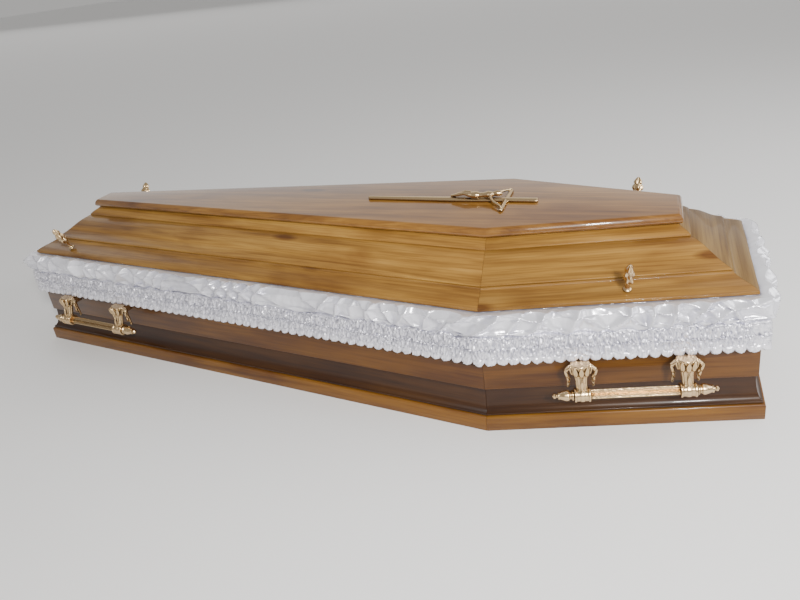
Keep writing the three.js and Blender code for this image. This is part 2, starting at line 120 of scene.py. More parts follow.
# %% [markdown]
# The numbers of the wood come first. A stretch of 1 along the board and 17 across it draws a
# noise out into streaks, and a stretch of 170 across makes pores as thin as a hair.

# %% Stains and patterns of the wood
DARK_STAIN = (0.165, 0.074, 0.012)
MIDDLE_STAIN = (0.285, 0.148, 0.030)
HONEY_STAIN = (0.38, 0.215, 0.052)
STAIN_STOPS = (0.28, 0.5, 0.72)
BLOTCH = (0.55, 0.44, 0.36)
KNOT = (0.30, 0.17, 0.10)
CLEAR = (1.0, 1.0, 1.0)
STREAKS = {"stretch": (1.1, 17, 17), "scale": 2.4, "detail": 6, "distortion": 0.7}
BLOTCHES = {"stretch": (1.6, 4, 4), "scale": 2.2, "detail": 3, "distortion": 0.4}
PORES = {"stretch": (4, 170, 170), "scale": 1.6, "detail": 3}
KNOT_SPACING = (2.6, 9, 9)
BLOTCH_SHARE, PORE_SHARE, KNOT_SHARE = 0.75, 0.45, 0.8
print("stains from", DARK_STAIN, "to", HONEY_STAIN)

# %% [markdown]
# Streaks carry the three stains, from dark to honey. Blotches, pores and a few knots only darken
# what is under them, so each is a ramp that ends in clear white and is multiplied in. The knots
# are the middles of stretched Voronoi cells. A tone then tints the stains for each kind of board.

# %% Layers of the wood
def toned(colour, tone):
    return tuple(channel * share for channel, share in zip(colour, tone))


def along_board(nodes, links, angle, shift):
    coordinates = nodes.new("ShaderNodeTexCoord")
    turn = nodes.new("ShaderNodeMapping")
    turn.vector_type = "TEXTURE"
    turn.inputs["Rotation"].default_value = (0, 0, angle)
    turn.inputs["Location"].default_value = shift
    links.new(coordinates.outputs["Object"], turn.inputs["Vector"])
    return turn.outputs["Vector"]


def knot_layer(nodes, links, along):
    spaced = nodes.new("ShaderNodeMapping")
    spaced.inputs["Scale"].default_value = KNOT_SPACING
    links.new(along, spaced.inputs["Vector"])
    cells = nodes.new("ShaderNodeTexVoronoi")
    cells.inputs["Scale"].default_value = 1.0
    links.new(spaced.outputs["Vector"], cells.inputs["Vector"])
    knots = ramp(nodes, [(0.0, KNOT), (0.07, KNOT), (0.13, CLEAR)])
    links.new(cells.outputs["Distance"], knots.inputs["Fac"])
    return knots.outputs["Color"]


def stained_grain(nodes, links, along, tone):
    stains = [toned(colour, tone) for colour in (DARK_STAIN, MIDDLE_STAIN, HONEY_STAIN)]
    grain = ramp(nodes, list(zip(STAIN_STOPS, stains)))
    links.new(noise_at(nodes, links, along, **STREAKS), grain.inputs["Fac"])
    blotches = ramp(nodes, [(0.36, BLOTCH), (0.56, CLEAR)])
    links.new(noise_at(nodes, links, along, **BLOTCHES), blotches.inputs["Fac"])
    pores = ramp(nodes, [(0.40, BLOTCH), (0.52, CLEAR)])
    links.new(noise_at(nodes, links, along, **PORES), pores.inputs["Fac"])
    colour = darkened(nodes, links, BLOTCH_SHARE, grain.outputs["Color"], blotches.outputs["Color"])
    colour = darkened(nodes, links, PORE_SHARE, colour, pores.outputs["Color"])
    return darkened(nodes, links, KNOT_SHARE, colour, knot_layer(nodes, links, along))


# %% [markdown]
# The lacquer is poured on thick, so it is a clear coat of its own over the stained wood. It is
# never dead flat: slow waves bend what it mirrors, which a faint bump on the coat gives.

# %% The lacquered wood
LACQUER_WAVES = {"stretch": (1, 3, 3), "scale": 9, "detail": 2}


def lacquered_wood(name, angle, shift, tone, gloss):
    material, nodes, links, shader = new_material(name)
    along = along_board(nodes, links, angle, shift)
    links.new(stained_grain(nodes, links, along, tone), shader.inputs["Base Color"])
    shader.inputs["Roughness"].default_value = 0.38
    shader.inputs["Specular IOR Level"].default_value = 0.25
    shader.inputs["Coat Weight"].default_value = gloss
    shader.inputs["Coat Roughness"].default_value = 0.06
    shader.inputs["Coat IOR"].default_value = 1.42
    waves = nodes.new("ShaderNodeBump")
    waves.inputs["Strength"].default_value = 0.12
    waves.inputs["Distance"].default_value = 0.002
    links.new(noise_at(nodes, links, along, **LACQUER_WAVES), waves.inputs["Height"])
    links.new(waves.outputs["Normal"], shader.inputs["Coat Normal"])
    links.new(waves.outputs["Normal"], shader.inputs["Normal"])
    return material


# %% [markdown]
# The name of a board says which side it is on and what kind it is. The side gives the angle of
# its grain, and the kind gives its tone. The boards below the rim are darker than the lid as
# painted shade, the cove darkest for the shade in its hollow; only the top board has its full
# gloss, and the boards across the head of the lid are darkened and greyed as painted shade.

# %% Grain angle and tone of each board
BOARD_ANGLES = {
    "near_side": -LONG_SIDE_ANGLE,
    "far_side": LONG_SIDE_ANGLE,
    "near_head_side": HEAD_SIDE_ANGLE,
    "far_head_side": -HEAD_SIDE_ANGLE,
    "head_end": math.pi / 2,
    "foot_end": math.pi / 2,
    "board": 0.0,
}
BOARD_TONES_AND_PAINTED_SHADE = {
    # painted shade: plinth, wall and most of all the cove are darkened for the shade below the rim and
    # in the cove's hollow
    "plinth": (0.52, 0.41, 0.20),
    "cove": (0.12, 0.075, 0.025),
    "wall": (0.35, 0.25, 0.08),
    "lid_lower": (0.84, 0.82, 0.78),
    "lid_middle": (0.96, 0.96, 0.94),
    "lid_upper": (1.0, 1.0, 1.0),
    "lid_top": (0.76, 0.66, 0.50),
    "floor": (0.8, 0.8, 0.8),
}
# painted shade: darkens and greys the lid's boards across the head end for the duller light on that
# face
HEAD_END_PAINTED_SHADE = (0.64, 0.70, 0.90)
LOW_GLOSS = 0.35
FULL_GLOSS = 1.0
PATTERN_STEP = (0.37, 0.9, 0.21)
BOARD_FAMILIES = list(BOARD_TONES_AND_PAINTED_SHADE)


def family_of(node_name):
    return next((family for family in BOARD_FAMILIES if node_name.startswith(family)), None)


def side_of(node_name):
    return max((side for side in BOARD_ANGLES if node_name.endswith(side)), key=len)


def wood_for(side, family):
    tone = BOARD_TONES_AND_PAINTED_SHADE[family]
    # painted shade on the lid's boards across the head end
    if side == "head_end" and family.startswith("lid"):
        tone = toned(tone, HEAD_END_PAINTED_SHADE)
    gloss = FULL_GLOSS if family == "lid_top" else LOW_GLOSS
    shift = [BOARD_FAMILIES.index(family) * step for step in PATTERN_STEP]
    return lacquered_wood(f"wood_{family}_{side}", BOARD_ANGLES[side], shift, tone, gloss)


print(len(BOARD_FAMILIES), "kinds of board,", len(BOARD_ANGLES), "directions of grain")

# %% [markdown]
# Each board is dressed in its place. A copy of the node is merged into one skin, gets a fine
# rounding on its arrises, and stands for the node. The rounding is what catches the thin bright
# lines along every moulding, which a sharp edge can't show.

# %% Merge and round a board
ARRIS = 0.0007
ARRIS_ANGLE = math.radians(38)
SMOOTH_ANGLE = math.radians(32)
WELD = 0.00001
FLAT_WITHIN = math.radians(0.2)


def select_only(piece):
    bpy.ops.object.select_all(action="DESELECT")
    piece.select_set(True)
    bpy.context.view_layer.objects.active = piece


def merged_copy(node, name):
    select_only(node)
    bpy.ops.object.duplicate()
    piece = bpy.context.view_layer.objects.active
    piece.name = name
    for key in list(piece.keys()):
        del piece[key]
    piece.data = node.data.copy()
    piece.data.name = name
    bpy.ops.object.mode_set(mode="EDIT")
    bpy.ops.mesh.select_all(action="SELECT")
    bpy.ops.mesh.remove_doubles(threshold=WELD)
    bpy.ops.mesh.dissolve_limited(angle_limit=FLAT_WITHIN)
    bpy.ops.object.mode_set(mode="OBJECT")
    return piece


def round_arrises(piece, width, segments=2):
    bevel = piece.modifiers.new("arris", "BEVEL")
    bevel.width = width
    bevel.segments = segments
    bevel.limit_method = "ANGLE"
    bevel.angle_limit = ARRIS_ANGLE
    select_only(piece)
    bpy.ops.object.modifier_apply(modifier="arris")
    bpy.ops.object.shade_smooth_by_angle(angle=SMOOTH_ANGLE)


# %% [markdown]
# Boards of one kind on one side share a finish, made when the first of them is met.

# %% Dress the boards
def dress(node_name, material):
    piece = merged_copy(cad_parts[node_name], "dressed_" + node_name)
    round_arrises(piece, ARRIS)
    piece.data.materials.clear()
    piece.data.materials.append(material)
    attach(piece, "root")
    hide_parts(node_name)


woods = {}
for node_name in sorted(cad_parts):
    family = family_of(node_name)
    if family is None:
        continue
    key = (side_of(node_name), family)
    if key not in woods:
        woods[key] = wood_for(*key)
    dress(node_name, woods[key])
print(len(woods), "wood finishes")

# %% [markdown]
# ## Gilt fittings
# Coffin handles and screws are thin castings plated in a pale champagne gold. The plating is
# bright on the high places and dull brown in the hollows as painted shade, where little light
# reaches, so the Ambient Occlusion node darkens the recesses, and a small bump gives the grain
# of the casting.

# %% The gilt
GILT_HIGH = (0.66, 0.48, 0.27)
GILT_PAINTED_SHADE = (0.17, 0.10, 0.042)
RECESS_REACH = 0.012
CAST_GRAIN = {"stretch": (1, 1, 1), "scale": 210, "detail": 3}


def champagne_gilt():
    material, nodes, links, shader = new_material("champagne_gilt")
    recess = nodes.new("ShaderNodeAmbientOcclusion")
    recess.inputs["Distance"].default_value = RECESS_REACH
    recess.samples = 8
    # painted shade: the recesses are darkened from the gilt's colour to a dull brown
    tone = ramp(nodes, [(0.45, GILT_PAINTED_SHADE), (0.95, GILT_HIGH)])
    links.new(recess.outputs["AO"], tone.inputs["Fac"])
    links.new(tone.outputs["Color"], shader.inputs["Base Color"])
    coordinates = nodes.new("ShaderNodeTexCoord")
    cast = nodes.new("ShaderNodeBump")
    cast.inputs["Strength"].default_value = 0.5
    cast.inputs["Distance"].default_value = 0.0012
    grain = noise_at(nodes, links, coordinates.outputs["Object"], **CAST_GRAIN)
    links.new(grain, cast.inputs["Height"])
    links.new(cast.outputs["Normal"], shader.inputs["Normal"])
    shader.inputs["Metallic"].default_value = 1.0
    shader.inputs["Roughness"].default_value = 0.24
    return material


gilt = champagne_gilt()
print("made", gilt.name)

# %% [markdown]
# The figure and its cross are one casting. The CAD solid has its limbs as plain rounds, so a copy
# is rebuilt as one fine skin and smoothed, which melts the joins together as metal in a mould
# does. The brackets are cast in the same way further on.

# %% Cast the crucifix
CRUCIFIX_SKIN = 0.0011
CRUCIFIX_SMOOTHING = 3


def cast_as_one(piece, voxel, smoothing, keep=1.0):
    select_only(piece)
    skin = piece.modifiers.new("skin", "REMESH")
    skin.mode = "VOXEL"
    skin.voxel_size = voxel
    bpy.ops.object.modifier_apply(modifier="skin")
    soften = piece.modifiers.new("soften", "SMOOTH")
    soften.factor = 0.5
    soften.iterations = smoothing
    bpy.ops.object.modifier_apply(modifier="soften")
    if keep < 1:
        thin = piece.modifiers.new("thin", "DECIMATE")
        thin.ratio = keep
        bpy.ops.object.modifier_apply(modifier="thin")
    bpy.ops.object.shade_smooth()
    print(piece.name, len(piece.data.polygons), "faces")


def finish_casting(piece, node_name):
    piece.data.materials.clear()
    piece.data.materials.append(gilt)
    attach(piece, "root")
    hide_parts(node_name)


crucifix_cast = merged_copy(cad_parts["crucifix"], "crucifix_cast")
cast_as_one(crucifix_cast, CRUCIFIX_SKIN, CRUCIFIX_SMOOTHING)
finish_casting(crucifix_cast, "crucifix")

# %% [markdown]
# ## Handles
# Each bar is turned and fluted, with a pointed end outside each bracket. Turning is an extrusion
# that changes its width as it goes: the cap of a circle is extruded along and resized at each
# station. Then every second vertex of the fluted length is pushed in. The axis is 0 for a piece
# that lies along X, as a bar does, and 2 for one that stands up.

# %% Turn a round piece along an axis
def turned(name, axis, stations, sides, bulge=(1, 1, 1)):
    bpy.ops.object.select_all(action="DESELECT")
    way = Vector([axis == k for k in range(3)])
    tilt = (0, math.pi / 2, 0) if axis == 0 else (0, 0, 0)
    (start, radius), *rest = stations
    bpy.ops.mesh.primitive_circle_add(
        vertices=sides, radius=radius, fill_type="NGON", location=way * start, rotation=tilt
    )
    piece = bpy.context.object
    piece.name = name
    bpy.ops.object.transform_apply(location=True, rotation=True, scale=True)
    bpy.ops.object.mode_set(mode="EDIT")
    bpy.ops.mesh.select_all(action="SELECT")
    for place, wide in rest:
        bpy.ops.mesh.extrude_region_move(TRANSFORM_OT_translate={"value": way * (place - start)})
        share = wide / radius
        factors = [1 if axis == k else share for k in range(3)]
        bpy.ops.transform.resize(value=factors, center_override=way * place)
        start, radius = place, wide
    bpy.ops.mesh.select_all(action="SELECT")
    bpy.ops.mesh.normals_make_consistent(inside=False)
    bpy.ops.object.mode_set(mode="OBJECT")
    for vertex in piece.data.vertices:
        vertex.co = Vector([c * b for c, b in zip(vertex.co, bulge)])
    return piece


def flute(piece, axis, low, high, sides, depth):
    u, v = [k for k in range(3) if k != axis]
    for vertex in piece.data.vertices:
        turn = math.atan2(vertex.co[v], vertex.co[u]) / math.tau * sides
        if low < vertex.co[axis] < high and round(turn) % 2:
            vertex.co[u] *= 1 - depth
            vertex.co[v] *= 1 - depth


# %% [markdown]
# The bar is fluted between its two sleeves. Past each sleeve it ends in a turned point of beads
# and necks, given as shares of the point's length and of the bar's radius, so that the point
# keeps its shape on a longer or thicker bar.

# %% The grip bar
BAR_HALF = 0.167
BAR_RADIUS = 0.0095
BAR_SIDES = 36
BAR_FLUTE_DEPTH = 0.17
BRACKET_HALF_SPACING = 0.1055
SLEEVE_HALF = 0.016
SLEEVE_END = BRACKET_HALF_SPACING + SLEEVE_HALF
SLEEVE_START = BRACKET_HALF_SPACING - SLEEVE_HALF
FLUTE_RUN_OUT = 0.003
HAIR = 0.0001
BAR_END = [
    (0.0, 1.0), (0.05, 1.15), (0.10, 1.18), (0.15, 0.88), (0.20, 0.88), (0.26, 1.14),
    (0.36, 1.20), (0.50, 1.02), (0.66, 0.76), (0.70, 0.84), (0.73, 0.84), (0.76, 0.46),
    (0.82, 0.44), (0.87, 0.60), (0.93, 0.56), (0.98, 0.30), (1.0, 0.12),
]


def grip_bar():
    tip = BAR_HALF - SLEEVE_END
    right = [(SLEEVE_END + share * tip, BAR_RADIUS * wide) for share, wide in BAR_END]
    middle = [(SLEEVE_START + FLUTE_RUN_OUT, BAR_RADIUS), (SLEEVE_START, BAR_RADIUS)]
    half = middle[::-1] + right
    stations = [(-x, r) for x, r in reversed(half)] + half
    piece = turned("grip_bar", 0, stations, BAR_SIDES)
    flute(piece, 0, -SLEEVE_START - HAIR, SLEEVE_START + HAIR, BAR_SIDES, BAR_FLUTE_DEPTH)
    return piece


# %% [markdown]
# A bracket is a fluted pillar that opens into a crown of leaves, with a leafy horn hanging at each
# side and a ribbed sleeve round the bar. A horn is one circle extruded from place to place and
# resized as it goes. A leaf is a ball drawn out, tapered, ribbed down its face and bent over.

# %% Horns and leaves
LEAF_TAPER = 0.55
LEAF_RIB_WIDTH = 0.22
LEAF_RIB_DEPTH = 0.5


def hanging(name, path, sides=14):
    (x, y, z, r), *rest = path
    bpy.ops.object.select_all(action="DESELECT")
    bpy.ops.mesh.primitive_circle_add(vertices=sides, radius=r, fill_type="NGON", location=(x, y, z))
    piece = bpy.context.object
    piece.name = name
    bpy.ops.object.transform_apply(location=True, rotation=True, scale=True)
    bpy.ops.object.mode_set(mode="EDIT")
    bpy.ops.mesh.select_all(action="SELECT")
    for nx, ny, nz, nr in rest:
        bpy.ops.mesh.extrude_region_move(TRANSFORM_OT_translate={"value": (nx - x, ny - y, nz - z)})
        bpy.ops.transform.resize(value=(nr / r, nr / r, 1), center_override=(nx, ny, nz))
        x, y, z, r = nx, ny, nz, nr
    bpy.ops.mesh.select_all(action="SELECT")
    bpy.ops.mesh.normals_make_consistent(inside=False)
    bpy.ops.object.mode_set(mode="OBJECT")
    return piece


def leaf(place, size, lean_x, lean_y):
    bpy.ops.object.select_all(action="DESELECT")
    bpy.ops.mesh.primitive_uv_sphere_add(segments=14, ring_count=10, radius=1, location=(0, 0, 0))
    piece = bpy.context.object
    wide, thick, tall = size
    for vertex in piece.data.vertices:
        x, y, z = vertex.co
        taper = 1 - LEAF_TAPER * max(0, z) ** 1.5
        rib = 1 - LEAF_RIB_DEPTH * math.exp(-((x / LEAF_RIB_WIDTH) ** 2)) if y < 0 else 1
        vertex.co = (x * wide * taper, y * thick * rib, z * tall)
        vertex.co.x += lean_x * (z + 1) ** 2 * tall / 4
        vertex.co.y += lean_y * (z + 1) ** 2 * tall / 4
        vertex.co += Vector(place)
    return piece


# %% [markdown]
# The outlines below are heights and radii of the pillar, places and radii along the sleeve, and
# points with radii down a horn. The pillar leans forward as it rises, so what sits on it leans too.

# %% Outlines and leaves of the bracket
BRACKET_TOP = 0.066
LEAN = 0.26
PILLAR = [
    (0.004, 0.0135), (0.010, 0.0135), (0.012, 0.0118), (0.030, 0.0122), (0.040, 0.0138),
    (0.043, 0.0160), (0.046, 0.0146), (0.056, 0.0176), (0.064, 0.0205), (BRACKET_TOP, 0.0200),
]
PILLAR_SIDES = 28
PILLAR_FLATTENING = (1, 0.8, 1)
PILLAR_FLUTES = (0.011, 0.047)
PILLAR_FLUTE_DEPTH = 0.13
SLEEVE = [
    (-0.0165, 0.0120), (-0.0160, 0.0150), (-0.0125, 0.0150), (-0.0115, 0.0132),
    (-0.0045, 0.0132), (-0.0035, 0.0146), (0.0035, 0.0146), (0.0045, 0.0132),
    (0.0115, 0.0132), (0.0125, 0.0150), (0.0160, 0.0150), (0.0165, 0.0120),
]
SLEEVE_SIDES = 32
HORN = [
    (0.010, 0.016, 0.0640, 0.0050), (0.019, 0.014, 0.0620, 0.0062), (0.0275, 0.013, 0.0560, 0.0056),
    (0.0290, 0.014, 0.0480, 0.0044), (0.0262, 0.016, 0.0380, 0.0040), (0.0240, 0.018, 0.0280, 0.0044),
    (0.0250, 0.019, 0.0190, 0.0036), (0.0262, 0.020, 0.0120, 0.0022), (0.0258, 0.020, 0.0085, 0.0034),
    (0.0258, 0.020, 0.0050, 0.0014),
]
UPPER_HORN_LEAF = ((0.0285, 0.010, 0.046), (0.0036, 0.0026, 0.0095), 0.5)
LOWER_HORN_LEAF = ((0.0250, 0.013, 0.028), (0.0034, 0.0026, 0.0085), 0.4)
HORN_LEAF_LEAN = -0.2
CROWN_ANGLES = (-76, -38, 0, 38, 76)
CROWN_WIDTH, CROWN_DEPTH, CROWN_LEVEL = 0.0175, 0.0145, 0.0545
CROWN_LEAF = (0.0056, 0.0036, 0.0125)
CROWN_ASIDE, CROWN_AHEAD = 0.30, 0.45
LEVEL_OF_LEAN = 0.050
FACE_LEAF = ((0, -0.007, 0.026), (0.0034, 0.0022, 0.0130), 0, 0.2)
ARM_PLACE, ARM_SIZE = (0, 0.0315, 0.052), (0.030, 0.0275, 0.020)
print("bracket", BRACKET_TOP, "metres tall above the bar")

# %% [markdown]
# Each side has a horn with two leaves. Five leaves stand round the front of the crown, opening
# outwards, and a short arm runs back into the wall and carries the load.

# %% Parts of the bracket
def horn_with_leaves(side):
    parts = [hanging("horn", [(side * x, y, z, r) for x, y, z, r in HORN])]
    for (x, y, z), size, lean in (UPPER_HORN_LEAF, LOWER_HORN_LEAF):
        parts.append(leaf((side * x, y, z), size, side * lean, HORN_LEAF_LEAN))
    return parts


def crown_leaf(angle):
    aside, ahead = math.sin(math.radians(angle)), math.cos(math.radians(angle))
    spot = (CROWN_WIDTH * aside, LEAN * LEVEL_OF_LEAN - CROWN_DEPTH * ahead, CROWN_LEVEL)
    return leaf(spot, CROWN_LEAF, CROWN_ASIDE * aside, LEAN - CROWN_AHEAD * ahead)


def wall_arm():
    bpy.ops.object.select_all(action="DESELECT")
    bpy.ops.mesh.primitive_cube_add(size=1, location=ARM_PLACE, scale=ARM_SIZE)
    arm = bpy.context.object
    bpy.ops.object.transform_apply(location=True, rotation=True, scale=True)
    return arm


# %% [markdown]
# The parts are modelled apart, joined, and then cast as one skin, the way a founder's pattern is
# built up. A bracket is made once and copied eight times, so its skin is thinned a little.

# %% The bracket
BRACKET_SKIN = 0.0007
BRACKET_SMOOTHING = 1
BRACKET_KEEP = 0.35


def bracket():
    pillar = turned("bracket", 2, PILLAR, PILLAR_SIDES, PILLAR_FLATTENING)
    flute(pillar, 2, *PILLAR_FLUTES, PILLAR_SIDES, PILLAR_FLUTE_DEPTH)
    for vertex in pillar.data.vertices:
        vertex.co.y += LEAN * vertex.co.z
    parts = [pillar, turned("sleeve", 0, SLEEVE, SLEEVE_SIDES)]
    for side in (-1, 1):
        parts.extend(horn_with_leaves(side))
    parts.extend(crown_leaf(angle) for angle in CROWN_ANGLES)
    parts.append(leaf(*FACE_LEAF))
    parts.append(wall_arm())
    bpy.ops.object.select_all(action="DESELECT")
    for part in parts:
        part.select_set(True)
    bpy.context.view_layer.objects.active = pillar
    bpy.ops.object.join()
    cast_as_one(pillar, BRACKET_SKIN, BRACKET_SMOOTHING, BRACKET_KEEP)
    return pillar


# %% [markdown]
# Handles and lid screws sit on the four long walls, each at its own distance from the foot or
# head corner. A seat is a place out from the plinth's edge, turned to lie along that wall.

# %% Seats round the coffin
CORNERS = {"near_foot": 0, "near_head": 1, "far_head": 3, "far_foot": 4}


def outward(edge):
    along = edge.normalized()
    return Vector((along.y, -along.x))


def seat(edge, along, out, level):
    a, b = Vector(PLAN[edge]), Vector(PLAN[(edge + 1) % SIDE_COUNT])
    direction = (b - a).normalized()
    place = a + direction * along if edge < SIDE_COUNT / 2 else b - direction * along
    place += outward(direction) * out
    turn = Matrix.Rotation(math.atan2(direction.y, direction.x), 4, "Z")
    return Matrix.Translation((place.x, place.y, level)) @ turn


def set_copy(master, name, matrix):
    piece = master.copy()
    piece.data = master.data.copy()
    piece.name = name
    bpy.context.collection.objects.link(piece)
    piece.data.transform(matrix)
    return piece


print("seats on", ", ".join(CORNERS))

# %% [markdown]
# One bar and one bracket are made, and every handle is a set of copies, each with its own mesh.

# %% Set the handles on the walls
WALL_SETBACK = 0.016
BAR_STANDOFF = 0.046
BAR_OUT = BAR_STANDOFF - WALL_SETBACK
BAR_LEVEL = 0.110
BAR_SMOOTH_ANGLE = math.radians(24)
HANDLE_PLACES = {"near_foot": 0.262, "near_head": 0.310, "far_head": 0.310, "far_foot": 0.262}

bar_master, bracket_master = grip_bar(), bracket()
select_only(bar_master)
bpy.ops.object.shade_smooth_by_angle(angle=BAR_SMOOTH_ANGLE)
for corner_name, edge in CORNERS.items():
    place = seat(edge, HANDLE_PLACES[corner_name], BAR_OUT, BAR_LEVEL)
    bar = set_copy(bar_master, f"grip_{corner_name}", place)
    finish_casting(bar, f"handle_bar_{corner_name}")
    for end, side in (("a", -1), ("b", 1)):
        spot = place @ Matrix.Translation((side * BRACKET_HALF_SPACING, 0, 0))
        holder = set_copy(bracket_master, f"bracket_{corner_name}_{end}", spot)
        finish_casting(holder, f"handle_bracket_{corner_name}_{end}")
for master in (bar_master, bracket_master):
    bpy.data.objects.remove(master)
print(len(CORNERS), "handles set")

# %% [markdown]
# ## Lid screws
# A lid screw is turned by hand, so its head is a bud of leaves wide enough for two fingers, on a
# thin shank with a collar at its foot. The bud is turned as a round, then lobed: each vertex is
# drawn in or let out with its angle, in two tiers that are half a lobe apart, and flattened.

# %% Make a lid screw
SCREW = [
    (0.0, 0.0085), (0.0025, 0.0090), (0.004, 0.0080), (0.005, 0.0050), (0.008, 0.0036),
    (0.020, 0.0032), (0.0225, 0.0050), (0.025, 0.0044), (0.028, 0.0072), (0.033, 0.0112),
    (0.038, 0.0130), (0.042, 0.0118), (0.045, 0.0098), (0.048, 0.0114), (0.053, 0.0132),
    (0.058, 0.0120), (0.062, 0.0090), (0.065, 0.0098), (0.070, 0.0094), (0.075, 0.0070),
    (0.080, 0.0034), (0.082, 0.0012),
]
SCREW_SIDES = 40
BUD_START = 0.027
BUD_FLATTENING = 0.72
TIER = 0.0185
LOBES = 5
LOBE_DEPTH = 0.24


def lid_screw():
    piece = turned("lid_screw", 2, SCREW, SCREW_SIDES)
    for vertex in piece.data.vertices:
        x, y, z = vertex.co
        if z > BUD_START:
            tier = int((z - BUD_START) / TIER)
            lobe = 1 + LOBE_DEPTH * math.cos(LOBES * math.atan2(y, x) + math.pi * tier)
            vertex.co = (x * lobe, y * lobe * BUD_FLATTENING, z)
    rounder = piece.modifiers.new("rounder", "SUBSURF")
    rounder.levels = rounder.render_levels = 1
    select_only(piece)
    bpy.ops.object.modifier_apply(modifier="rounder")
    bpy.ops.object.shade_smooth()
    print(piece.name, len(piece.data.polygons), "faces")
    return piece


# %% [markdown]
# The screws go through the lowest sloped boards of the lid, half way up the slope and square to
# it. Each is left as it happened to stop, so the one on the near head side is a quarter turn round.

# %% Set the lid screws
LID_BOTTOM = 0.288
LID_SETBACK = 0.025
LIP_HEIGHT = 0.007
LOWER_SLOPE_RUN = 0.0443
LOWER_SLOPE_RISE = 0.0205
LID_SLOPE = math.atan2(LOWER_SLOPE_RISE, LOWER_SLOPE_RUN)
SCREW_OUT = -LID_SETBACK - LOWER_SLOPE_RUN / 2
SCREW_LEVEL = LID_BOTTOM + LIP_HEIGHT + LOWER_SLOPE_RISE / 2
SCREW_LIFT = 0.0012
SCREW_PLACES = {"near_foot": 0.158, "near_head": 0.312, "far_head": 0.312, "far_foot": 0.158}
QUARTER_TURN = math.pi / 2

screw_master = lid_screw()
for corner_name, edge in CORNERS.items():
    twist = QUARTER_TURN if corner_name == "near_head" else 0
    place = seat(edge, SCREW_PLACES[corner_name], SCREW_OUT, SCREW_LEVEL)
    place = place @ Matrix.Rotation(LID_SLOPE, 4, "X")
    place = place @ Matrix.Translation((0, 0, SCREW_LIFT)) @ Matrix.Rotation(twist, 4, "Z")
    screw = set_copy(screw_master, f"thumb_screw_{corner_name}", place)
    finish_casting(screw, f"lid_screw_{corner_name}")
bpy.data.objects.remove(screw_master)
print(len(CORNERS), "lid screws set")

# %% [markdown]
# ## The line of the rim
# Both cloths run round the six walls. A function gives the point on the wall's outer face at a
# distance round the rim, and the way outwards there, which turns smoothly past each corner so
# that the cloth bellies round it instead of breaking.

# %% The rim as a path
CORNER_EASE = 0.030


def set_back(plan, distance):
    corners = []
    count = len(plan)
    for i in range(count):
        before, here, after = (Vector(plan[(i + k) % count]) for k in (-1, 0, 1))
        a = (here - before).normalized()
        b = (after - here).normalized()
        out = Vector((a.y + b.y, -a.x - b.x)).normalized()
        corners.append(here - out * distance / out.dot(Vector((a.y, -a.x))))
    return corners


RIM = set_back(PLAN, WALL_SETBACK)
EDGES = [(RIM[i], RIM[(i + 1) % SIDE_COUNT] - RIM[i]) for i in range(SIDE_COUNT)]
RIM_LENGTH = sum(edge.length for _, edge in EDGES)


def rim_point(s):
    s = s % RIM_LENGTH
    for i, (corner, edge) in enumerate(EDGES):
        if s <= edge.length or i == SIDE_COUNT - 1:
            break
        s -= edge.length
    out = outward(edge)
    if s < CORNER_EASE:
        share = 0.5 + 0.5 * s / CORNER_EASE
        out = (outward(EDGES[i - 1][1]) * (1 - share) + out * share).normalized()
    elif s > edge.length - CORNER_EASE:
        share = 0.5 + 0.5 * (edge.length - s) / CORNER_EASE
        out = (outward(EDGES[(i + 1) % SIDE_COUNT][1]) * (1 - share) + out * share).normalized()
    place = corner + edge.normalized() * min(s, edge.length)
    return place, out


print("rim length", round(RIM_LENGTH, 3))

# %% [markdown]
# ## Folding a cloth round the rim
# A grid is the cloth laid flat: its X is the way round the rim and its Y the way down. Each vertex
# is then carried to its place on the rim. That keeps the weave of the mesh in line with the
# cloth, which a simulation of a gathered strip this long can't hold within the time.

# %% Carry a flat grid to the rim
SEAM_WELD = 0.0003


def cloth_round_rim(name, columns, rows, shape):
    bpy.ops.object.select_all(action="DESELECT")
    bpy.ops.mesh.primitive_grid_add(x_subdivisions=columns, y_subdivisions=rows, size=1)
    piece = bpy.context.object
    piece.name = name
    for vertex in piece.data.vertices:
        s = (vertex.co.x + 0.5) * RIM_LENGTH
        t = 0.5 - vertex.co.y
        place, out = rim_point(s)
        shift, stand, height = shape(s, t, place)
        along = Vector((-out.y, out.x))
        spot = place + along * shift + out * stand
        vertex.co = (spot.x, spot.y, height)
    select_only(piece)
    bpy.ops.object.mode_set(mode="EDIT")
    bpy.ops.mesh.select_all(action="SELECT")
    bpy.ops.mesh.remove_doubles(threshold=SEAM_WELD)
    bpy.ops.object.mode_set(mode="OBJECT")
    middle = piece.data.polygons[len(piece.data.polygons) // 2]
    if middle.normal.dot(Vector((middle.center.x, middle.center.y, 0))) < 0:
        piece.data.flip_normals()
    bpy.ops.object.shade_smooth()
    area = sum(face.area for face in piece.data.polygons)
    print(name, len(piece.data.polygons), "faces,", round(area, 3), "square metres")
    return piece


# %% [markdown]
# Three small helpers shape the folds. A ripple is smooth noise that knows its place on the rim,
# with a seed of its own, a depth down the cloth and a number of waves to the metre. A ridge is a
# sharp crest once in every turn. A blend carries a value smoothly from point to point down a line.

# %% Ripples, ridges and blends
def ripple(place, seed, down, waves):
    return noise.noise(Vector((place.x * waves + seed, place.y * waves, down)))


def ridge(phase):
    return 1 - abs(2 * (phase - math.floor(phase)) - 1)


def blend(points, t):
    for (t0, *a), (t1, *b) in zip(points, points[1:]):
        if t <= t1:
            k = (t - t0) / (t1 - t0)
            k = k * k * (3 - 2 * k)
            return [p + (q - p) * k for p, q in zip(a, b)]
    return points[-1][1:]


# %% [markdown]
# ## The satin frill
# White satin is folded over the rim, trapped under the lid and puffed out below it. Its folds
# slant one way and then the other, with sharp crests and soft hollows between. Two families of
# ridges that lean against each other make that, and the higher of the two wins at each point.

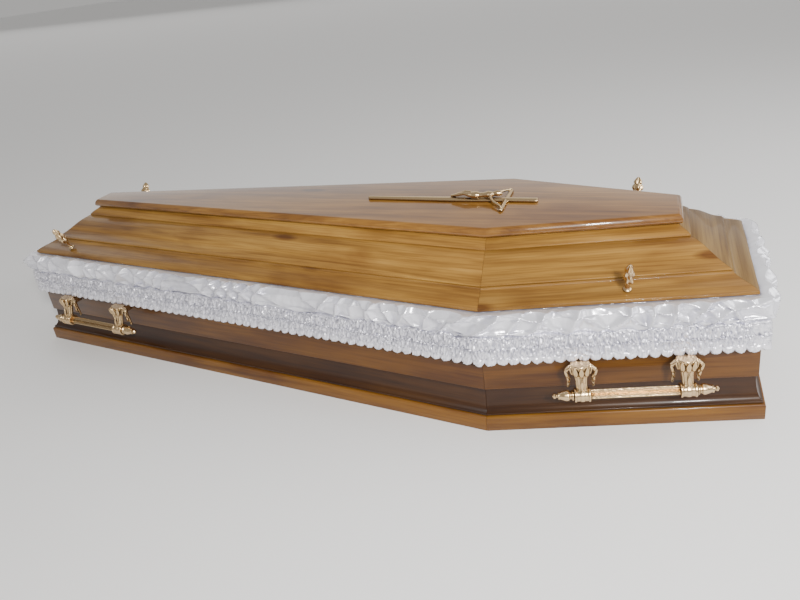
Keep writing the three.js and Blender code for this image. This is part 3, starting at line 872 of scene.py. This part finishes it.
# %% The frill's folds
FRILL_LINE = [
    (0.00, -0.019, 0.2864),
    (0.14, -0.009, 0.2866),
    (0.34, 0.014, 0.2915),
    (0.52, 0.0255, 0.2800),
    (0.80, 0.0205, 0.2500),
    (1.00, 0.0080, 0.2320),
]
UNDER_LID = 0.14
FRILL_FOLDS = 74
FRILL_COUNTER_FOLDS = 52
FRILL_SLANT = 1.5
COUNTER_SLANT = 1.8
CREST_SHARPNESS = 3.0
COUNTER_SHARPNESS = 3.2


def frill_fold(s, t, place):
    wander = 1.5 * ripple(place, 0, 0.8 * t, 7)
    lean = 1.6 * ripple(place, 4, 0, 3.5)
    astray = 1.4 * ripple(place, 9, 0.5 * t, 6)
    crest = ridge(FRILL_FOLDS * s / RIM_LENGTH + wander + (FRILL_SLANT + lean) * t)
    counter = ridge(FRILL_COUNTER_FOLDS * s / RIM_LENGTH - COUNTER_SLANT * t + astray)
    strength = 0.85 + 0.6 * ripple(place, 2, 1, 11)
    return max(crest ** CREST_SHARPNESS * strength, 0.7 * counter ** COUNTER_SHARPNESS)


# %% [markdown]
# The line gives how far the cloth stands out and how high it is, from under the lid to the top of
# the band. Folds lie flat where the lid traps them, are deepest where the cloth puffs out, and
# lift the upper edge a little, so that it looks tucked in by hand.

# %% Make the frill
FOLD_DEPTH = 0.0205
FOLD_MIDDLE = 0.45
CRUMPLE_DEPTH = 0.0018
EDGE_LIFT = 0.0055
EDGE_WANDER = 0.004
SIDE_SWAY = 0.004
FRILL_COLUMNS = 1750
FRILL_ROWS = 44


def frill_shape(s, t, place):
    stand, height = blend(FRILL_LINE, t)
    fold = frill_fold(s, t, place)
    puff = math.sin(math.pi * min(max((t - UNDER_LID) / (1 - UNDER_LID), 0), 1)) ** 0.7
    small = ripple(place, 3, 6 * t, 60) + 0.5 * ripple(place, 5, 9 * t, 130)
    deep = (fold - FOLD_MIDDLE) * FOLD_DEPTH + small * CRUMPLE_DEPTH
    edge = min(max((t - UNDER_LID) / 0.1, 0), 1)
    rise = edge * (EDGE_LIFT * (fold - 0.3) + EDGE_WANDER * ripple(place, 7, 0, 24)) * (1 - t)
    sway = SIDE_SWAY * puff * ripple(place, 8, 2 * t, 20)
    return sway, stand + puff * deep, height + rise


satin_frill = cloth_round_rim("satin_frill_cloth", FRILL_COLUMNS, FRILL_ROWS, frill_shape)

# %% [markdown]
# ## The ruched band
# Below the frill hangs a narrower strip, drawn up on rows of elastic into hundreds of tiny
# crumpled tucks, and its hem falls in small round scallops. Here the depth comes from close
# ridges that a fine noise crumples, and the scallops from half circles set side by side.

# %% Make the band
BAND_LINE = [
    (0.00, 0.0050, 0.2410),
    (0.15, 0.0140, 0.2350),
    (0.50, 0.0165, 0.2090),
    (0.82, 0.0150, 0.1880),
    (0.94, 0.0155, 0.1790),
    (1.00, 0.0110, 0.1765),
]
SCALLOPS = 196
SCALLOP_DEPTH = 0.0075
HEM_START = 0.62
TUCKS = 980
TUCK_DEPTH = 0.0055
TUCK_CRUMPLE = 0.0075
LOOSE_UNTIL = 0.87
HEM_LOOSENESS = 0.4
BAND_SWAY = 0.0015
HEM_WANDER = 0.0012
TOP_WANDER = 0.007
TOP_ZONE = 0.25
BAND_COLUMNS = 2950
BAND_ROWS = 31


def scallop_at(s):
    across = 2 * ((SCALLOPS * s / RIM_LENGTH) % 1) - 1
    return math.sqrt(max(0.0, 1 - across * across))


def band_shape(s, t, place):
    stand, height = blend(BAND_LINE, t)
    scallop = scallop_at(s)
    hem = max(0.0, (t - HEM_START) / (1 - HEM_START))
    tuck = ridge(TUCKS * s / RIM_LENGTH + 2.2 * ripple(place, 0, 7 * t, 40))
    crumple = ripple(place, 3, 16 * t, 190)
    loose = math.sin(math.pi * min(1.0, t * 1.15)) ** 0.5 if t < LOOSE_UNTIL else HEM_LOOSENESS
    deep = loose * (TUCK_DEPTH * (tuck - 0.5) + TUCK_CRUMPLE * crumple) + hem * SCALLOP_DEPTH * scallop
    drop = -hem * SCALLOP_DEPTH * (scallop - 0.4) + HEM_WANDER * ripple(place, 6, t, 90)
    top = (1 - min(1.0, t / TOP_ZONE)) * TOP_WANDER * ripple(place, 1, 0, 30)
    sway = BAND_SWAY * loose * ripple(place, 9, 12 * t, 150)
    return sway, stand + deep, height + drop + top


ruched_band = cloth_round_rim("ruched_band_cloth", BAND_COLUMNS, BAND_ROWS, band_shape)

# %% [markdown]
# ## Satin
# Satin floats its threads over the surface, so it shines almost like a soft metal and its
# shadows go lavender-grey. A lowish roughness with a sheen on top gives that without a texture,
# a very fine noise breaks the shine as the weave does, and Ambient Occlusion shades the hollows
# of the folds, where light from one fold reaches the next only after it has lost its strength.

# %% The satin finishes
HOLLOW = (0.36, 0.36, 0.46)
WEAVE = {"stretch": (1, 1, 1), "scale": 420, "detail": 3}


def satin(name, colour, roughness, weave, depth):
    material, nodes, links, shader = new_material(name)
    hollows = nodes.new("ShaderNodeAmbientOcclusion")
    hollows.inputs["Distance"].default_value = depth
    hollows.samples = 8
    shade = ramp(nodes, [(0.40, HOLLOW), (0.92, colour)])
    links.new(hollows.outputs["AO"], shade.inputs["Fac"])
    links.new(shade.outputs["Color"], shader.inputs["Base Color"])
    shader.inputs["Roughness"].default_value = roughness
    shader.inputs["Specular IOR Level"].default_value = 1.0
    shader.inputs["Metallic"].default_value = 0.38
    shader.inputs["Coat Weight"].default_value = 0.7
    shader.inputs["Coat Roughness"].default_value = 0.16
    shader.inputs["Sheen Weight"].default_value = 0.35
    shader.inputs["Sheen Roughness"].default_value = 0.3
    coordinates = nodes.new("ShaderNodeTexCoord")
    threads = nodes.new("ShaderNodeBump")
    threads.inputs["Strength"].default_value = 0.35
    threads.inputs["Distance"].default_value = weave
    woven = noise_at(nodes, links, coordinates.outputs["Object"], **WEAVE)
    links.new(woven, threads.inputs["Height"])
    links.new(threads.outputs["Normal"], shader.inputs["Normal"])
    return material


def finish_cloth(piece, material, node_name):
    piece.data.materials.append(material)
    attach(piece, "root")
    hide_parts(node_name)


# %% [markdown]
# Both strips are cut flat and gathered. The frill is cut a fifth longer than the rim, and the band
# seven tenths longer.

# %% Finish the cloths
FRILL_WHITE = (0.76, 0.76, 0.82)
BAND_WHITE = (0.80, 0.79, 0.85)
smooth_satin = satin("smooth_satin", FRILL_WHITE, roughness=0.24, weave=0.0003, depth=0.022)
ruched_satin = satin("ruched_satin", BAND_WHITE, roughness=0.30, weave=0.0006, depth=0.008)
finish_cloth(satin_frill, smooth_satin, "satin_frill")
finish_cloth(ruched_band, ruched_satin, "ruched_band")

# %% [markdown]
# ## Floor, light and camera
# The stage is a plain pale floor, wide enough to run out of the picture on every side.

# %% The floor
FLOOR_SIZE = 80
FLOOR_PALENESS = (0.84, 0.84, 0.84, 1)
bpy.ops.object.select_all(action="DESELECT")
bpy.ops.mesh.primitive_plane_add(size=FLOOR_SIZE, location=(0, 0, 0))
floor = bpy.context.object
floor.name = "studio_floor"
floor_material, _, _, floor_shader = new_material("pale_floor")
floor_shader.inputs["Base Color"].default_value = FLOOR_PALENESS
floor_shader.inputs["Roughness"].default_value = 0.7
floor.data.materials.append(floor_material)
print("floor", FLOOR_SIZE, "metres wide")

# %% [markdown]
# A very wide panel, far behind and above the coffin, is what the top board mirrors at a shallow
# angle. Two smaller panels light the head end and fill the near side, and a small hard one in
# front throws the bright points on satin and gilt.

# %% The lights
def panel_light(name, place, target, size, power, colour=(1, 1, 1)):
    bpy.ops.object.light_add(type="AREA", location=place)
    light = bpy.context.object
    light.name = name
    light.data.shape = "RECTANGLE"
    light.data.size, light.data.size_y = size
    light.data.energy = power
    light.data.color = colour
    light.rotation_euler = (Vector(target) - Vector(place)).to_track_quat("-Z", "Y").to_euler()


panel_light("back_panel", (-2.0, 14.0, 8.2), (-1.0, 0, 0.3), (50.0, 14.0), 1200, (1.0, 0.98, 0.96))
panel_light("head_panel", (3.2, 0.3, 1.9), (0.4, 0, 0.3), (2.4, 1.8), 60)
panel_light("near_fill", (1.9, -3.2, 2.4), (0.3, 0, 0.2), (2.4, 1.4), 62, (1.0, 0.97, 0.92))
panel_light("key", (1.7, -2.1, 1.9), (0.3, -0.2, 0.25), (0.35, 0.35), 95, (1.0, 0.98, 0.95))
SKY_COLOUR = (1.0, 0.985, 0.96, 1)
SKY_STRENGTH = 0.46
world = bpy.data.worlds.new("studio")
bpy.context.scene.world = world
world.use_nodes = True
sky = world.node_tree.nodes["Background"]
sky.inputs["Color"].default_value = SKY_COLOUR
sky.inputs["Strength"].default_value = SKY_STRENGTH

# %% [markdown]
# The camera stands at the head end, near the shoulder, and looks down along the coffin. Its small
# shift frames the coffin as the picture does, low and to the left of the lens's own centre.

# %% The camera
CAMERA_PLACE = (0.7847, -1.4084, 0.9993)
YAW, PITCH, ROLL = (math.radians(angle) for angle in (20.927, -21.151, -7.14))
PICTURE_WIDTH, PICTURE_HEIGHT = 800, 600
FOCAL_PIXELS = 642.09
LENS_CENTRE_X, LENS_CENTRE_Y = 432.48, 197.66


def camera_axes(yaw, pitch, roll):
    flat = math.cos(pitch)
    forward = Vector((-math.sin(yaw) * flat, math.cos(yaw) * flat, math.sin(pitch)))
    right = Vector((math.cos(yaw), math.sin(yaw), 0))
    up = right.cross(forward)
    rolled_right = math.cos(roll) * right + math.sin(roll) * up
    rolled_up = -math.sin(roll) * right + math.cos(roll) * up
    return rolled_right, rolled_up, -forward


bpy.ops.object.camera_add(location=CAMERA_PLACE)
camera = bpy.context.object
camera_turn = Matrix(camera_axes(YAW, PITCH, ROLL)).transposed().to_4x4()
camera.matrix_world = Matrix.Translation(CAMERA_PLACE) @ camera_turn
camera.data.sensor_fit = "HORIZONTAL"
camera.data.lens = camera.data.sensor_width * (FOCAL_PIXELS / PICTURE_WIDTH)
camera.data.shift_x = (PICTURE_WIDTH / 2 - LENS_CENTRE_X) / PICTURE_WIDTH
camera.data.shift_y = (LENS_CENTRE_Y - PICTURE_HEIGHT / 2) / PICTURE_WIDTH
bpy.context.scene.camera = camera
print("lens", round(camera.data.lens, 2), "mm")
